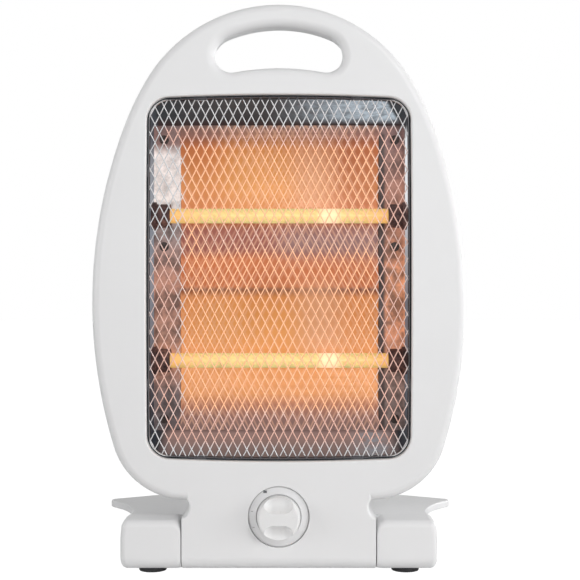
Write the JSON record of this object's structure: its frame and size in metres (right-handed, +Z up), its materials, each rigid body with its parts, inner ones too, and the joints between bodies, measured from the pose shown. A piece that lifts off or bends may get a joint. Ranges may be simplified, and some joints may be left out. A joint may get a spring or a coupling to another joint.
{
  "type": "halogen heater",
  "caption": "Free-standing oval quartz heater: two glowing tubes before a double trough reflector, wire guard, rotary switch, moulded handle opening and winged feet.",
  "frame": {"origin": "on the floor, below the middle of the heater's box", "axes": "+X to the heater's right as seen from the front, +Y from the grille to the back, +Z up"},
  "size_m": [0.2492, 0.1486, 0.3738],
  "materials": {
    "white_moulding": "satin moulded plastic",
    "knob_white": "satin moulded plastic",
    "dial_white": "satin moulded plastic with printed marks",
    "plated_wire": "bright plated wire",
    "shield_sheet": "satin rolled sheet",
    "polished_reflector": "polished sheet",
    "cheek_sheet": "bright rolled sheet",
    "quartz": "clear",
    "glowing_wire": "glowing orange",
    "dark_ceramic": "unglazed, sooty",
    "zinc_steel": "zinc plated",
    "screw_steel": "nickel plated",
    "contact_brass": "bright",
    "black_plastic": "moulded",
    "red_plastic": "moulded",
    "cream_plastic": "moulded",
    "black_rubber": "matt"
  },
  "bodies": {
    "housing": {"front_shell": "white_moulding", "rear_shell": "white_moulding", "left_foot": "white_moulding", "right_foot": "white_moulding", "grille": "plated_wire", "heat_shield": "shield_sheet", "left_side_plate": "shield_sheet", "right_side_plate": "shield_sheet", "reflector": "polished_reflector", "left_end_cheek": "cheek_sheet", "right_end_cheek": "cheek_sheet", "upper_quartz_tube": "quartz", "lower_quartz_tube": "quartz", "upper_heating_coil": "glowing_wire", "lower_heating_coil": "glowing_wire", "ceramic_end_caps": "dark_ceramic", "tube_clips": "zinc_steel", "coil_terminals": "zinc_steel", "thermal_cutout": "black_plastic", "dial_ring": "dial_white", "rotary_switch": "black_plastic", "switch_nut": "zinc_steel", "tip_switch_body": "black_plastic", "tip_spring": "zinc_steel", "tip_contacts": "contact_brass", "terminal_block": "cream_plastic", "cord_bushing": "black_rubber", "front_pads": "black_rubber", "rear_pads": "black_rubber", "shell_screws": "screw_steel", "foot_screws": "screw_steel", "cheek_screws": "screw_steel"},
    "knob": {"knob": "knob_white", "switch_shaft": "zinc_steel"},
    "plunger": {"tip_plunger": "red_plastic"}
  },
  "joints": [
    {"name": "knob_turn", "type": "hinge", "parent": "housing", "child": "knob", "pos_m": [0, -0.0655, 0.0379], "axis": [0, -1, 0], "range_deg": [-90, 0]},
    {"name": "plunger_slide", "type": "slide", "parent": "housing", "child": "plunger", "axis": [0, 0, 1], "range_m": [-0.004, 0], "stiffness_N_per_m": 120, "springref_m": -0.005, "deforming": ["tip_spring"]}
  ]
}
